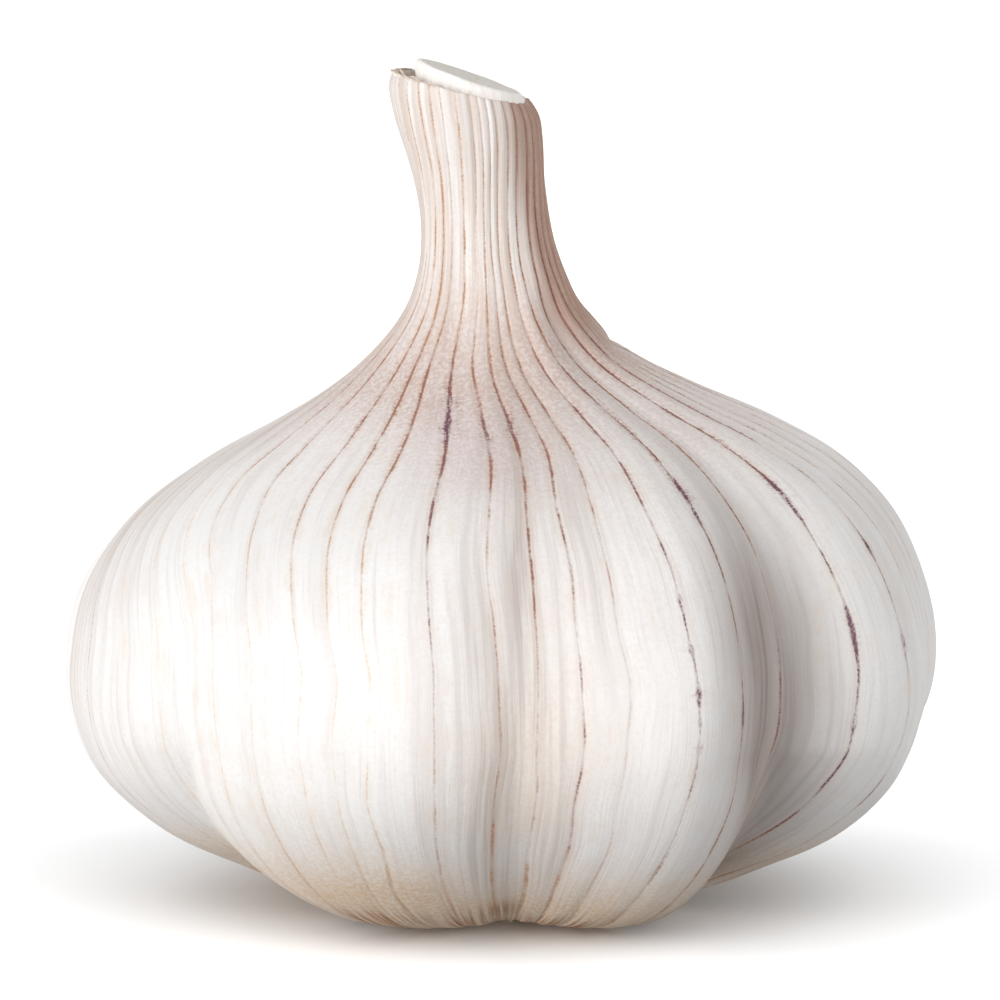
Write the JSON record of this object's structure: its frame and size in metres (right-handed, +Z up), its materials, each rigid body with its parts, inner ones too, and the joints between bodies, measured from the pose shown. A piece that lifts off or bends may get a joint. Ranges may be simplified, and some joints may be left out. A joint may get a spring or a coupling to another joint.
{
  "type": "garlic bulb",
  "caption": "Whole garlic bulb with papery striped skin over its cloves, a short cut neck, the cut flower stalk in it, and a root plate it stands on.",
  "frame": {"origin": "centre of the root plate's flat underside, on the surface the bulb stands on", "axes": "+Z up through the neck, -Y the front of the bulb, +X to the right seen from the front; the neck leans towards -X"},
  "size_m": [0.062, 0.0616, 0.0604],
  "materials": {
    "papery_skin": "thin dry papery skin, near white, with red-brown and purple veins running from neck to root",
    "dry_sheath": "dry tan leaf sheath, thin and crumpled",
    "cut_stalk": "dried plant stalk, white fibrous side and pale grey cut face",
    "corky_root": "dry corky root plate with trimmed root stubs, matt brown"
  },
  "bodies": {
    "root": {"bulb": "papery_skin", "inner_sheath": "dry_sheath", "stalk": "cut_stalk", "root_plate": "corky_root"}
  },
  "joints": []
}
